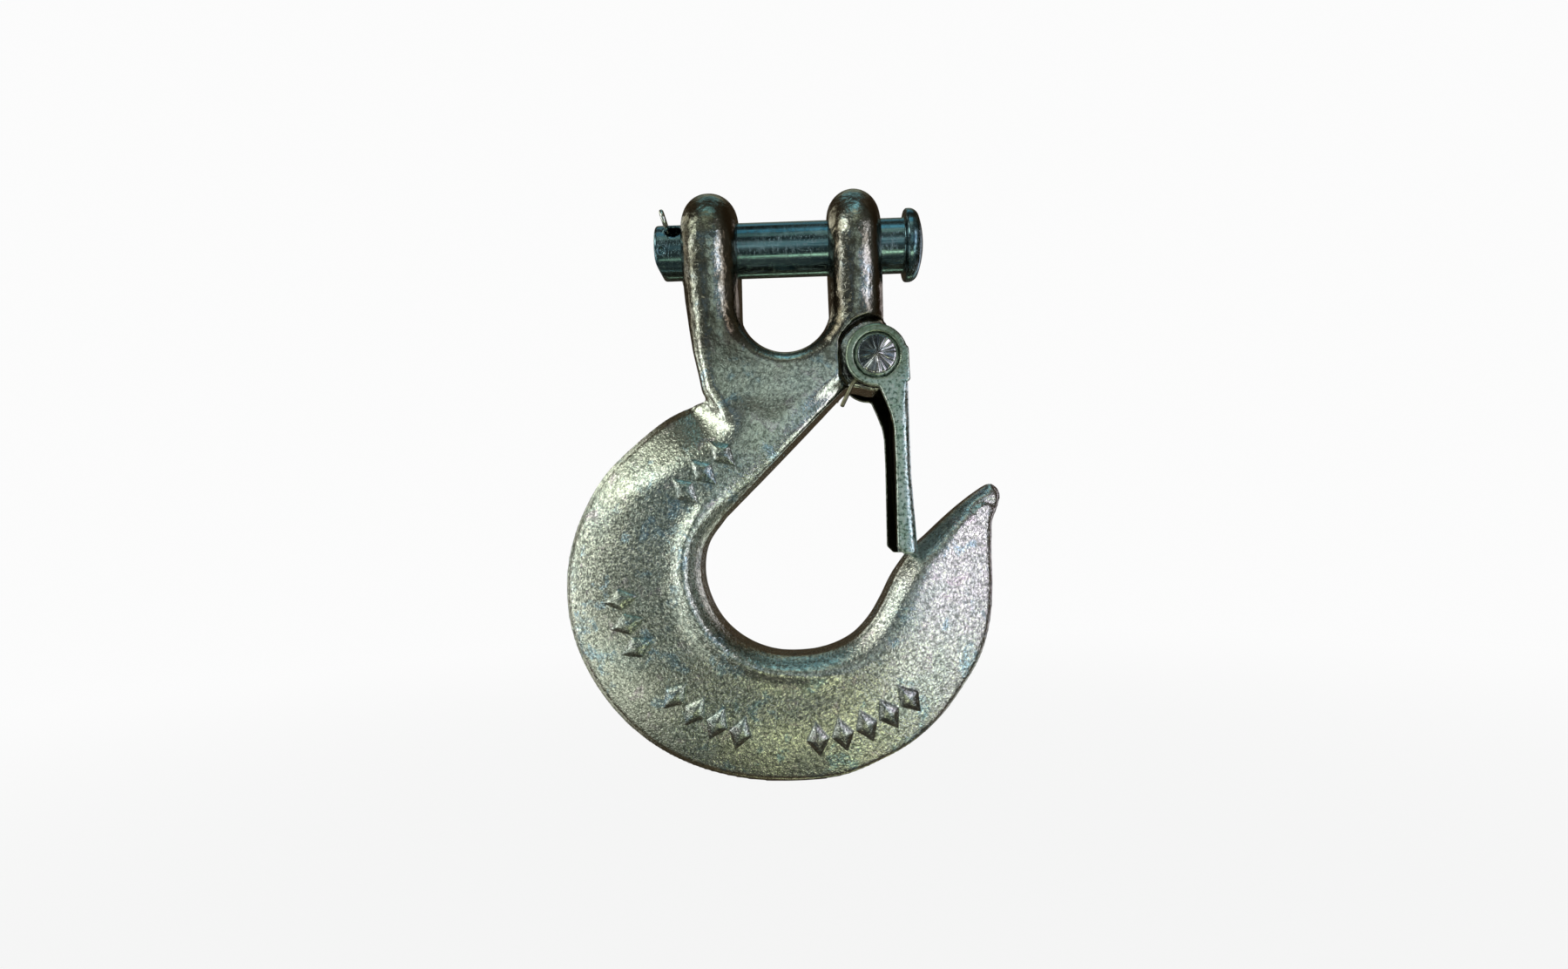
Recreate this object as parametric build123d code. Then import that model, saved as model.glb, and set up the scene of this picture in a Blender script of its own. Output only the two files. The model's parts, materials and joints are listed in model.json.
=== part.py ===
"""Clevis slip hook with a spring safety latch, hanging from its clevis pin.

Millimetres. The origin is on the clevis pin's axis, midway between the two eyes.
+Z points up the chain, +X along the pin towards its head, and Y through the hook's
thickness. The forging is symmetric about the XZ plane, its parting plane.
"""

import os
from math import cos, radians, sin

from build123d import *

# ---------------------------------------------------------------- driving dimensions
# Clevis: two eyes that stand on a web
GAP_LEFT = -10.2          # inner face of the left arm
GAP_RIGHT = 10.4          # inner face of the right arm
ARM_LEFT = -24.0          # outer face of the left arm
ARM_RIGHT = 24.1          # outer face of the right arm
EYE_RADIUS = 13.0         # round end of each arm about the pin
EYE_FILLET = 4.4          # forged rounding round each eye
ARM_FOOT = 6.9            # half thickness of an arm at its lowest, inside the hook
WEB_HALF = 7.4
SLOT_RADIUS = (GAP_RIGHT - GAP_LEFT) / 2
SLOT_CENTRE_Z = -14.8     # centre of the U's round bottom
SADDLE_FILLET = 3.0
WEB_BOTTOM_Z = -36.0
LEFT_ARM = [
    (-25.0, 14.0), (-24.1, -10.0), (-23.1, -19.0), (-21.6, -27.0), (-20.0, -33.0),
    (-18.9, WEB_BOTTOM_Z), (-6.0, WEB_BOTTOM_Z), (-6.0, 14.0),
]
RIGHT_ARM = [(25.0, 14.0), (24.2, -19.8), (16.5, -28.2), (6.0, -29.2), (6.0, 14.0)]

# Clevis pin and its cotter
PIN_RADIUS = 6.35
RUNNING_CLEARANCE = 0.08
PIN_LEFT = -30.8
PIN_RIGHT = 29.4          # underside of the head
HEAD_RADIUS = 8.4
HEAD_RIM = 2.6            # thickness of the head's cylindrical rim
HEAD_DOME = 1.9
PIN_CHAMFER = 0.5
SHEAR_ROLL_X = 3.0        # the sheared end is rolled over along its lower edge
SHEAR_ROLL_Z = 4.2
COTTER_X = -26.1
COTTER_TILT = 36.0        # degrees that the cotter's eye stands above the horizontal
COTTER_LEAN = 5.0         # degrees that it leans outwards in its loose hole
COTTER_HOLE_RADIUS = 2.05
COTTER_RADIUS = 1.15
COTTER_GAP = 0.1          # half of the slit between its two legs
COTTER_EYE_RADIUS = 2.3   # to the middle of the wire
COTTER_WIRE = 0.62        # half thickness of the wire round the eye
COTTER_SHORT_LEG = 2.6
COTTER_LONG_LEG = 4.6

# Rivet that the latch turns on
RIVET_X = 20.9
RIVET_Z = -28.6
RIVET_RADIUS = 3.0
RIVET_HEAD_RADIUS = 4.5
RIVET_HEAD_RIM = 0.7
RIVET_HEAD_CONE = 1.0

# Latch lug and the pockets machined beside it
LUG_RADIUS = 6.9
LUG_HALF = 5.0
POCKET_RADIUS = 9.1

# Safety latch: a pressed channel that opens towards the shank
LATCH_HALF_WIDTH = 11.5
LATCH_SHEET = 1.9
LATCH_EAR_RADIUS = 7.1
LATCH_SPINE_X = 28.2      # outer face of the spine
LATCH_TOP_Z = -34.5       # where the spine starts
LATCH_END_Z = -74.1
LATCH_FREE_EDGE_X = 24.2  # free edge of the two cheeks
LATCH_CORNER = 1.2        # rounding along the spine's bends

# Double torsion spring
WIRE_RADIUS = 0.5
COIL_RADIUS = 3.95
COIL_TURNS = 2.5
COIL_OUTER_Y = 8.4
COIL_INNER_Y = 5.7

# Hook: a section is a row of the outer point's X and Z, the inner point's X and Z, the half
# width of the inner wall, the half thickness at the bead beside it, and that midway.
SHANK = [
    (-17.6, -29.6, 13.0, -29.6, 5.6, 6.2, 6.0),
    (-23.5, -36.9, 9.0, -40.5, 7.4, 8.8, 7.6),
    (-30.3, -40.6, 0.1, -49.2, 7.5, 9.4, 7.4),
    (-38.3, -46.9, -9.6, -58.6, 7.6, 9.9, 7.4),
]
TIP = [
    (47.1, -92.0, 24.0, -80.6, 7.6, 9.4, 6.8),
    (48.0, -80.0, 27.6, -75.0, 7.5, 9.0, 6.6),
    (48.1, -72.0, 32.1, -70.3, 7.3, 8.6, 6.2),
    (49.6, -65.6, 37.4, -64.9, 7.1, 8.0, 5.6),
    (50.9, -61.4, 42.6, -60.9, 6.8, 7.2, 4.6),
    (50.0, -58.5, 46.2, -58.3, 5.0, 5.2, 3.6),
]
# Round the bowl the inner wall is a circle. Each pair is an angle about its centre and the
# distance out to the hook's back there.
BOWL_CENTRE_Z = -75.8
BOWL_RADIUS = 21.6
BACK_RADII = [
    (160, 50.8), (172, 53.2), (185, 54.8), (200, 55.6), (214, 55.4), (230, 54.8),
    (250, 53.6), (270, 52.3), (290, 51.8), (308, 51.4), (324, 50.6),
]
BOWL_WALL = (7.6, 10.0, 7.4)
WALL_CORNER = 0.5         # how far in from the inner wall its corner lies
BEAD_FROM_WALL = 5.6      # how far in from the inner wall the bead's crest lies
EDGE_INSET = 1.6
EDGE_HALF = 2.0           # half thickness just inside the parting edge
# Where the points of a section lie along its rim, from the inner wall to the parting edge
RIM_PLACES = [0.0, 0.09, 0.18, 0.32, 0.58, 0.93, 1.0]
LOFT_SPANS = [(0, 16), (16, 26), (26, 40)]


# ---------------------------------------------------------------- helpers
def along_y(radius, half_length, x=0.0, z=0.0):
    """A cylinder along Y, centred on the parting plane."""
    return Pos(x, 0, z) * Rot(90, 0, 0) * Cylinder(radius, 2 * half_length)


def along_x(radius, x_start, x_end):
    """A cylinder along the pin's axis between two X places."""
    return Pos((x_start + x_end) / 2, 0, 0) * Rot(0, 90, 0) * Cylinder(radius, x_end - x_start)


def block(x_start, x_end, y_start, y_end, z_start, z_end):
    """A box between two corners."""
    middle = Pos((x_start + x_end) / 2, (y_start + y_end) / 2, (z_start + z_end) / 2)
    return middle * Box(x_end - x_start, y_end - y_start, z_end - z_start)


def plate(outline, half_thickness):
    """A face drawn on the XZ plane, thickened both ways."""
    return extrude(outline, half_thickness, both=True)


# ---------------------------------------------------------------- hook body
def arm(x_inner, x_outer, outline):
    """One clevis arm: a round eye that tapers down to the web, trimmed to its front outline."""
    foot = Pos(0, WEB_BOTTOM_Z) * Rectangle(2 * ARM_FOOT, 0.2)
    side_view = make_hull([*Circle(EYE_RADIUS).edges(), *foot.edges()])
    low = min(x_inner, x_outer)
    slab = extrude(Plane.YZ.offset(low) * side_view, abs(x_outer - x_inner), dir=(1, 0, 0))
    rims = [
        edge for edge in slab.edges()
        if abs(edge.tangent_at(0.5).X) < 0.1 and edge.center().Z > WEB_BOTTOM_Z + 1
    ]
    front_view = plate(make_face(Plane.XZ * Polyline(*outline, close=True)), 2 * EYE_RADIUS)
    return fillet(rims, EYE_FILLET) & front_view


def web():
    """The plate that joins the two arms below the slot, with the slot's rounded saddle."""
    outline = make_face(
        Plane.XZ
        * Polyline(
            *LEFT_ARM[2:5],
            (-13.0, WEB_BOTTOM_Z - 2.0),
            (9.0, WEB_BOTTOM_Z - 1.0),
            (16.5, -30.0),
            (ARM_RIGHT - 0.9, -19.0),
            (ARM_RIGHT - 6.0, SLOT_CENTRE_Z),
            (ARM_LEFT + 6.0, SLOT_CENTRE_Z),
            close=True,
        )
    )
    slot_x = (GAP_LEFT + GAP_RIGHT) / 2
    plain = plate(outline, WEB_HALF) - along_y(SLOT_RADIUS, 2 * WEB_HALF, slot_x, SLOT_CENTRE_Z)
    rims = [e for e in plain.edges().filter_by(GeomType.CIRCLE) if abs(e.center().Y) > 1]
    return fillet(rims, SADDLE_FILLET)


def lug():
    """The thin round lug that carries the rivet, drawn out to meet the arm and the shank."""
    corners = (
        Pos(RIVET_X, RIVET_Z) * Circle(LUG_RADIUS),
        Pos(17.0, -21.0) * Circle(6.0),
        Pos(8.0, -33.5) * Circle(2.0),
    )
    outline = make_hull([edge for corner in corners for edge in corner.edges()])
    return plate(Plane.XZ * outline, LUG_HALF)


def bowl_row(angle, back_radius):
    """The numbers of a section on a ray from the bowl's centre."""
    way = (cos(radians(angle)), sin(radians(angle)))
    outer = (back_radius * way[0], BOWL_CENTRE_Z + back_radius * way[1])
    inner = (BOWL_RADIUS * way[0], BOWL_CENTRE_Z + BOWL_RADIUS * way[1])
    return (*outer, *inner, *BOWL_WALL)


def halfway(before, start, end, after):
    """The row midway between start and end on a smooth curve through all four rows."""
    return tuple(
        (9 * (b + c) - a - d) / 16 for a, b, c, d in zip(before, start, end, after)
    )


def rim(outer_x, outer_z, inner_x, inner_z, wall_half, bead_half, middle_half):
    """The rim of one section of the hook, in the plane of its outer and inner points and Y."""
    start = Vector(inner_x, 0, inner_z)
    end = Vector(outer_x, 0, outer_z)
    width = (end - start).length
    across = (end - start).normalized()
    plane = Plane(origin=start, x_dir=across, z_dir=across.cross(Vector(0, 1, 0)))
    side = [
        (0.0, 0.5 * wall_half),
        (WALL_CORNER, 0.96 * wall_half),
        (min(BEAD_FROM_WALL, 0.3 * width), bead_half),
        (0.5 * width, middle_half),
        (width - EDGE_INSET, EDGE_HALF),
    ]
    points = [(0.0, 0.0), *side, (width, 0.0), *((t, -y) for t, y in reversed(side))]
    places = RIM_PLACES + [2.0 - place for place in reversed(RIM_PLACES[:-1])]
    in_space = [plane.from_local_coords(Vector(*point)) for point in points]
    return Wire([Edge.make_spline(in_space, periodic=True, parameters=places)])


def bowl():
    """The curved hook from the web round to the nose, in spans that each turn under 90 degrees."""
    rows = SHANK + [bowl_row(*pair) for pair in BACK_RADII] + TIP
    ends = [rows[0], *rows, rows[-1]]
    rims = [rim(*rows[0])]
    for index in range(len(rows) - 1):
        rims.append(rim(*halfway(*ends[index : index + 4])))
        rims.append(rim(*rows[index + 1]))
    spans = [Solid.make_loft(rims[first : last + 1], ruled=True) for first, last in LOFT_SPANS]
    return Part() + spans


def make_hook_body():
    """The whole forging with its bores and pockets."""
    body = arm(GAP_LEFT, ARM_LEFT, LEFT_ARM) + arm(GAP_RIGHT, ARM_RIGHT, RIGHT_ARM)
    body += web() + bowl()
    for side in (-1, 1):
        y_middle = side * (LUG_HALF + 10.0)
        pocket = Pos(RIVET_X, y_middle, RIVET_Z) * Rot(90, 0, 0) * Cylinder(POCKET_RADIUS, 20.0)
        body -= pocket
    body += lug()
    body -= along_x(PIN_RADIUS + RUNNING_CLEARANCE, ARM_LEFT - 2, ARM_RIGHT + 2)
    body -= along_y(RIVET_RADIUS + 0.02, LUG_HALF + 1, RIVET_X, RIVET_Z)
    return body


# ---------------------------------------------------------------- clevis pin and cotter
def make_clevis_pin():
    """A headed pin with a domed head, a sheared end and a cross hole for the cotter."""
    shank = along_x(PIN_RADIUS, PIN_LEFT, PIN_RIGHT + 0.5)
    shank = chamfer(shank.faces().sort_by(Axis.X)[0].edges(), PIN_CHAMFER)
    roll_x = PIN_LEFT + SHEAR_ROLL_X
    roll_z = SHEAR_ROLL_Z - PIN_RADIUS
    corner = block(PIN_LEFT - 1, roll_x, -PIN_RADIUS, PIN_RADIUS, -PIN_RADIUS - 1, roll_z)
    rolled = Plane.XZ * Pos(roll_x, roll_z) * Ellipse(SHEAR_ROLL_X, SHEAR_ROLL_Z)
    shank -= corner - plate(rolled, PIN_RADIUS + 1)
    rim_end = PIN_RIGHT + HEAD_RIM
    head_end = rim_end + HEAD_DOME
    rim = Polyline(
        (head_end, 0), (PIN_RIGHT, 0), (PIN_RIGHT, HEAD_RADIUS - 0.5),
        (PIN_RIGHT + 0.5, HEAD_RADIUS), (rim_end, HEAD_RADIUS),
    )
    dome = Spline(
        (rim_end, HEAD_RADIUS),
        (rim_end + 0.72 * HEAD_DOME, HEAD_RADIUS - 2.6),
        (head_end, 0),
        tangents=[(1, 0), (0, -1)],
    )
    head = revolve(make_face(Plane.XZ * (rim + dome)), Axis.X)
    hole = Pos(COTTER_X, 0, 0) * Rot(90 - COTTER_TILT, 0, 0)
    return shank + head - hole * Cylinder(COTTER_HOLE_RADIUS, 4 * PIN_RADIUS)


def make_cotter_pin():
    """A split pin in its own frame (eye towards +Z), then turned into the cross hole."""
    eye_z = PIN_RADIUS + 0.6 + COTTER_WIRE + COTTER_EYE_RADIUS
    neck_z = eye_z - COTTER_EYE_RADIUS
    legs_low = -PIN_RADIUS - 0.8
    pin = Pos(0, 0, (neck_z + legs_low) / 2) * Cylinder(COTTER_RADIUS, neck_z - legs_low)
    wire = Plane.XZ * Pos(0, COTTER_EYE_RADIUS) * Ellipse(COTTER_RADIUS, COTTER_WIRE)
    pin += Pos(0, 0, eye_z) * revolve(wire, Axis.X)
    pin -= block(-3, 3, -COTTER_GAP, COTTER_GAP, legs_low - 3, neck_z - 1.5 * COTTER_WIRE)
    foot_radius = 0.55 * COTTER_RADIUS
    for side, length, bend in ((1, COTTER_LONG_LEG, 58.0), (-1, COTTER_SHORT_LEG, 40.0)):
        foot = Pos(0, side * (COTTER_GAP + foot_radius), legs_low)
        tip = Rot(side * bend, 0, 0) * Pos(0, 0, -length / 2)
        pin += foot * tip * Cylinder(foot_radius, length)
        pin += foot * Sphere(foot_radius)
    return Pos(COTTER_X, 0, 0) * Rot(90 - COTTER_TILT, 0, 0) * Rot(0, -COTTER_LEAN, 0) * pin


# ---------------------------------------------------------------- latch, rivet and spring
def make_safety_latch():
    """The pressed latch: two cheeks with round ears, joined by a spine on the outside."""
    spine_inner_x = LATCH_SPINE_X - LATCH_SHEET
    ear = Pos(RIVET_X, RIVET_Z) * Circle(LATCH_EAR_RADIUS)
    shoulder = Polyline(
        (LATCH_SPINE_X, LATCH_TOP_Z), (LATCH_SPINE_X, -42.0), (23.8, -42.0), close=True
    )
    ear_hull = Plane.XZ * make_hull([*ear.edges(), *shoulder.edges()])
    stem = make_face(
        Plane.XZ
        * Polyline(
            (LATCH_SPINE_X, -38.0),
            (LATCH_SPINE_X - 0.3, -54.0),
            (LATCH_SPINE_X + 0.2, LATCH_END_Z),
            (LATCH_FREE_EDGE_X + 1.9, LATCH_END_Z),
            (LATCH_FREE_EDGE_X, LATCH_END_Z + 2.2),
            (LATCH_FREE_EDGE_X, -52.0),
            (23.7, -42.0),
            (23.4, -38.0),
            close=True,
        )
    )
    solid = plate(ear_hull + stem, LATCH_HALF_WIDTH)
    bends = [
        e for e in solid.edges().filter_by(Axis.Y, reverse=True)
        if e.center().X > spine_inner_x + 1.0 and e.center().Z < LATCH_TOP_Z - 1.0
    ]
    solid = fillet(bends, LATCH_CORNER)
    inside = LATCH_HALF_WIDTH - LATCH_SHEET
    solid -= block(0, spine_inner_x, -inside, inside, LATCH_END_Z - 5, LATCH_TOP_Z)
    solid -= block(0, LATCH_SPINE_X + 9, -inside, inside, LATCH_TOP_Z, 0)
    return solid - along_y(RIVET_RADIUS + 0.05, LATCH_HALF_WIDTH + 1, RIVET_X, RIVET_Z)


def make_latch_rivet():
    """The rivet through the latch ears and the lug, with a head at each end."""
    head_start = LATCH_HALF_WIDTH + 0.05
    rivet = along_y(RIVET_RADIUS, head_start + 0.2, RIVET_X, RIVET_Z)
    for side in (-1, 1):
        rim_y = side * (head_start + RIVET_HEAD_RIM / 2)
        cone_y = side * (head_start + RIVET_HEAD_RIM + RIVET_HEAD_CONE / 2)
        turn = Rot(-90 * side, 0, 0)
        rivet += Pos(RIVET_X, rim_y, RIVET_Z) * turn * Cylinder(RIVET_HEAD_RADIUS, RIVET_HEAD_RIM)
        rivet += Pos(RIVET_X, cone_y, RIVET_Z) * turn * Cone(RIVET_HEAD_RADIUS, 1.6, RIVET_HEAD_CONE)
    return rivet


def make_latch_spring():
    """Two coils round the rivet, a leg from each on the shank, and a bridge behind the spine."""
    pitch = (COIL_OUTER_Y - COIL_INNER_Y) / COIL_TURNS
    coil_plane = Plane(
        origin=(RIVET_X, -COIL_OUTER_Y, RIVET_Z), x_dir=(-1, 0, 0), z_dir=(0, 1, 0)
    )
    helix = coil_plane * Helix(pitch, COIL_OUTER_Y - COIL_INNER_Y, COIL_RADIUS)
    start, end = helix @ 0, helix @ 1
    start_way, end_way = helix % 0, helix % 1
    knee = start - start_way * 4.4
    foot = Vector(11.9, knee.Y, -39.9)
    corner = Vector(25.4, end.Y + 0.4, -41.0)
    ankle = end + end_way * 4.0
    shank_leg = FilletPolyline(foot, knee, start, radius=1.5)
    latch_leg = FilletPolyline(end, ankle, corner, Vector(25.4, 0, -41.0), radius=1.5)
    path = Wire([*shank_leg.edges(), *helix.edges(), *latch_leg.edges()])
    profile = Plane(origin=path @ 0, z_dir=path % 0) * Circle(WIRE_RADIUS)
    half = sweep(profile, path=path)
    return half + mirror(half, Plane.XZ)


# ---------------------------------------------------------------- write the nodes
NODES = {
    "hook_body": make_hook_body,
    "clevis_pin": make_clevis_pin,
    "cotter_pin": make_cotter_pin,
    "safety_latch": make_safety_latch,
    "latch_rivet": make_latch_rivet,
    "latch_spring": make_latch_spring,
}

os.makedirs("parts", exist_ok=True)
for name, make in NODES.items():
    export_step(make(), f"parts/{name}.step")
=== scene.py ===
"""Clevis slip hook with a sprung safety latch, dressed for the picture.

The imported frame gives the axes, the joints' places and each node's box. Outlines and shapes are
in millimetres in the frame's own axes, and meshes are stored in metres: +Z up the chain, +X along
the clevis pin, Y through the thickness.
"""

import json
import math

import bpy
import numpy as np
import openvdb
from mathutils import Matrix, Vector


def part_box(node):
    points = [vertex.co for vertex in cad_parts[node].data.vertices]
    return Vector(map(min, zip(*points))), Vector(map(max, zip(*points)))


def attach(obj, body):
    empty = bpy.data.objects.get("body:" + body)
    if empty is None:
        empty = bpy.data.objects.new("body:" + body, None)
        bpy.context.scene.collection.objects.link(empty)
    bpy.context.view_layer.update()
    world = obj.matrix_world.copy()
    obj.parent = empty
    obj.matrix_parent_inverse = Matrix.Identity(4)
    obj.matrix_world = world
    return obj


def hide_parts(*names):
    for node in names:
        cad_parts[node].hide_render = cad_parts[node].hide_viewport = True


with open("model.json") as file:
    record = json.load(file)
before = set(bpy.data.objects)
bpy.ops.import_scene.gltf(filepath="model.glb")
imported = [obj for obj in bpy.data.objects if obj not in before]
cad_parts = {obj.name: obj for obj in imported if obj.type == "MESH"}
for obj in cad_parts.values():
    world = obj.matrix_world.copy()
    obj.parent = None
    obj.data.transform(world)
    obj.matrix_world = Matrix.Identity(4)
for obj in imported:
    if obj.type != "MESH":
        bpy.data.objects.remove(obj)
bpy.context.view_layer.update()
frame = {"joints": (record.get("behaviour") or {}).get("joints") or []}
MM = 0.001

# How finely shapes are worked out: points on each stretch of a curve, then the margin round each
# CAD node and the grid's step, in mm
CURVE_STEPS = 6
FORGING_GRID = (1.2, 0.55)
PIN_GRID = (0.9, 0.3)
RIVET_GRID = (0.7, 0.22)
LATCH_GRID = (0.9, 0.3)
MARK_STEP = 0.3

# ---------------------------------------------------------------- places read from the frame
JOINTS = {joint["name"]: joint for joint in frame["joints"]}
RIVET_X, _, RIVET_Z = (value / MM for value in JOINTS["latch_swing"]["pos_m"])


def box_mm(node):
    """The lowest and highest corner of a CAD node, in millimetres."""
    low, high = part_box(node)
    return np.array(low) / MM, np.array(high) / MM


HOOK_LOW, HOOK_HIGH = box_mm("hook_body")
PIN_LOW, PIN_HIGH = box_mm("clevis_pin")
LATCH_LOW, LATCH_HIGH = box_mm("safety_latch")
RIVET_LOW, RIVET_HIGH = box_mm("latch_rivet")

# ---------------------------------------------------------------- shape of the forging, in mm
EYE_RADIUS = HOOK_HIGH[1]
EYE_ROUNDING = 6.3
SADDLE_ROUNDING = 4.0
ARM_X = 17.2
WEB_HALF = 8.2
WEB_TOP_Z = -30.0
ARM_TAPER = 0.16
BORE_RADIUS = 6.43
RIVET_HOLE_RADIUS = 3.0
SLOT_X = 0.4
SLOT_RADIUS = 10.6
SLOT_CENTRE_Z = -15.2

# The fork seen from the front, down the left side and back up the right
FORK = [
    (-23.3, 20.0), (-23.3, -7.0), (-23.0, -13.0), (-22.4, -19.0), (-21.6, -25.0),
    (-20.5, -30.5), (-19.8, -34.5), (-17.2, -39.0), (-12.5, -47.0), (-4.0, -48.0),
    (15.2, -33.6), (21.0, -31.0), (23.5, -22.0), (23.5, -8.0), (23.4, 20.0),
]
# Where the fork begins: a place under the left arm, and the way from there into the fork
FORK_START = (-18.5, -37.0)
FORK_WAY = (0.646, 0.764)
# How far the hook's face sinks below the web there
FORK_SINK = 1.8

# The hook's back, from inside the web past the cusp under the left arm, round to the nose
BACK = [
    (-10.0, -33.5), (-18.4, -36.2), (-23.4, -37.4), (-29.5, -40.2), (-37.3, -46.1), (-44.4, -52.8),
    (-49.6, -61.0), (-53.0, -69.6), (-54.5, -78.6), (-54.0, -88.0), (-51.4, -97.0),
    (-46.8, -105.6), (-40.6, -113.2), (-32.6, -119.6), (-23.0, -124.3), (-11.8, -127.2),
    (0.0, -128.0), (10.6, -127.0), (19.6, -123.7), (27.4, -119.6), (34.4, -113.7),
    (39.9, -106.8), (44.4, -99.6), (47.0, -91.6), (48.0, -83.0), (48.1, -75.0),
    (48.4, -67.6), (49.7, -64.0), (50.5, -61.4),
]
NOSE = [(50.3, -59.7), (49.2, -58.5), (47.7, -58.2), (46.2, -58.8)]
# A sunken crease across the very tip
TIP_CREASE = [(42.6, -64.6), (43.4, -63.5), (45.5, -62.3), (47.7, -62.6), (48.4, -63.6)]
CREASE_DEPTH = 0.6
CREASE_WIDTH = 0.55
# The inner side, from the nose down to the latch's seat, round the bowl and up the shank
TIP_INNER = [(46.2, -58.8), (43.3, -60.7), (40.3, -62.9), (36.6, -66.0), (32.4, -69.8), (28.2, -73.4)]
BOWL_INNER = [
    (28.2, -73.4), (24.3, -78.9), (21.2, -84.8), (18.0, -89.7), (13.6, -93.8), (7.6, -96.3),
    (1.0, -97.1), (-5.6, -96.4), (-11.8, -93.7), (-16.9, -89.2), (-20.2, -83.2), (-21.5, -76.6),
    (-20.3, -70.0), (-16.0, -64.0),
]
SHANK_INNER = [(-16.0, -64.0), (16.2, -32.6)]

# Half the thickness, from the back across to the inner wall. Each has four values: for the bowl's
# left and bottom, for its right, for the shank and for the tip.
BACK_HALF = (2.1, 3.6, 2.3, 3.9)
BACK_SLOPE = (0.40, 0.31, 0.55, 0.34)
FLAT_HALF = (7.9, 9.0, 8.4, 7.9)
FLAT_FALL = (0.14, 0.05, 0.0, 0.0)
BEAD_WIDTH = (3.9, 6.4, 6.5, 4.6)
BEAD_HALF = (9.8, 9.2, 8.4, 7.9)
BEAD_SLOPE = (0.58, 0.1, 0.0, 0.0)
WALL_HALF = (5.4, 6.2, 7.5, 2.8)
ROLL_POWER = (2.0, 2.0, 2.0, 1.1)
BEAD_FOOT = 3.6
BEVEL = 0.9
FLASH_WIDTH = 0.7
FLASH_HALF = 0.7

# Raised lozenges: rows round the bowl as first angle and count, and a row of three on the shank.
# Then their half length and half width, the distance from their middle to their sides, the height
# of each pyramid's foot, and the reach and depths of the grid round each.
MARK_CENTRE = (0.3, -75.6)
MARK_RADIUS = 41.3
MARK_ROWS = ((189.5, 3), (226.0, 4), (276.0, 5))
MARK_PITCH = 8.2
SHANK_MARK = (-19.6, -53.6)
SHANK_PITCH = (-4.4, -4.2)
SHANK_ANGLE = 135.0
MARK_LONG = 4.5
MARK_WIDE = 2.8
MARK_MIDDLE = 2.4
MARK_HEIGHT = 0.9
MARK_REACH = 5.1
MARK_DEPTHS = (-11.5, -3.0)

# Latch lug and pocket
LUG_HALF = 5.0
LUG_RADIUS = 6.9
LUG_NECK = [
    (25.4, -23.4), (24.0, -19.5), (12.0, -18.0), (8.0, -33.0), (13.9, -34.9), (17.0, -34.0),
]
POCKET_X = RIVET_X + 0.3
POCKET_Z = RIVET_Z + 0.5
POCKET_RADIUS = 9.3
POCKET_LEFT = 12.7

# Pin, cotter, rivet, latch and spring
PIN_RADIUS = 6.35
HEAD_RADIUS = PIN_HIGH[2]
HEAD_START = 29.4
HEAD_DOME = 1.9
ROLL_X = 2.6
ROLL_Z = 4.2
PIN_END = PIN_LOW[0] + 1.0
DIMPLE = (-28.0, -6.3, -1.35)
DIMPLE_RADIUS = 0.8
HOLE_X = -25.2
COTTER_X = -25.7
COTTER_TILT = math.radians(36.0)
COTTER_HOLE_RADIUS = 2.05
COTTER_WIRE = 0.54
COTTER_EYE = 1.95
RIVET_HEAD_RADIUS = (RIVET_HIGH[0] - RIVET_LOW[0]) / 2
RIVET_HEAD_START = 11.55
RIVET_SHAFT_RADIUS = 2.95
LATCH_HALF = LATCH_HIGH[1]
SHEET = 1.9
EAR_RADIUS = 7.1
EAR_HOLE_RADIUS = 3.05
LATCH_OUTLINE = [
    (40.0, -34.9), (24.4, -34.9), (21.5, -36.2), (22.7, -39.2), (23.9, -42.5), (24.3, -45.3),
    (24.4, -52.1), (24.3, -60.0), (24.1, -72.4), (25.7, -74.1), (40.0, -74.1),
]
EAR_NECK = [
    (28.1, -27.0), (28.4, -34.4), (27.5, -35.0), (26.8, -42.5), (23.9, -42.5), (22.7, -39.2),
    (21.4, -36.0), (20.9, -27.0),
]
# Heights up the latch, and the spine's outer face at each
SPINE_LINE = ([-80.0, -74.0, -56.0, -45.0, -34.0], [29.1, 28.9, 28.0, 27.95, 28.0])
SPRING_WIRE = 0.5
COIL_RADIUS = 3.95
COIL_OUTER = 8.4
COIL_INNER = 5.7
COIL_STEPS = 30
COIL_STEP_ANGLE = math.radians(30)
LEG_STEP = (1.3, 2.5)
LEG_FEET = {"near": (12.8, -39.5), "far": (12.4, -35.6)}


# ---------------------------------------------------------------- fields on a grid
class Grid:
    """Evenly spaced places between two corners, kept as three arrays that broadcast."""

    def __init__(self, low, high, step):
        self.low = np.array(low, float)
        self.step = step
        spans = [low_end + step * np.arange(int((high_end - low_end) / step) + 2)
                 for low_end, high_end in zip(low, high)]
        self.x, self.y, self.z = np.meshgrid(*spans, indexing="ij", sparse=True)


def grid_round(low, high, margin, step):
    """A grid that reaches a margin past a CAD node's box."""
    return Grid(low - margin, high + margin, step)


def round_max(a, b, radius):
    """The part inside both a and b, with the edge between them rounded."""
    inside = np.minimum(np.maximum(a, b) + radius, 0.0)
    return inside + np.hypot(np.maximum(a + radius, 0.0), np.maximum(b + radius, 0.0)) - radius


def round_min(a, b, radius):
    """The part inside either a or b, with a fillet where they meet."""
    return -round_max(-a, -b, radius)


def soft_max(a, b, width):
    """The larger of two heights, blended over a width where they cross."""
    near = np.maximum(width - np.abs(a - b), 0.0)
    return np.maximum(a, b) + near * near / (4 * width)


def ramp(value, start, end):
    """0 before start, 1 after end, and smooth between them."""
    t = np.clip((value - start) / (end - start), 0.0, 1.0)
    return t * t * (3 - 2 * t)


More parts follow.
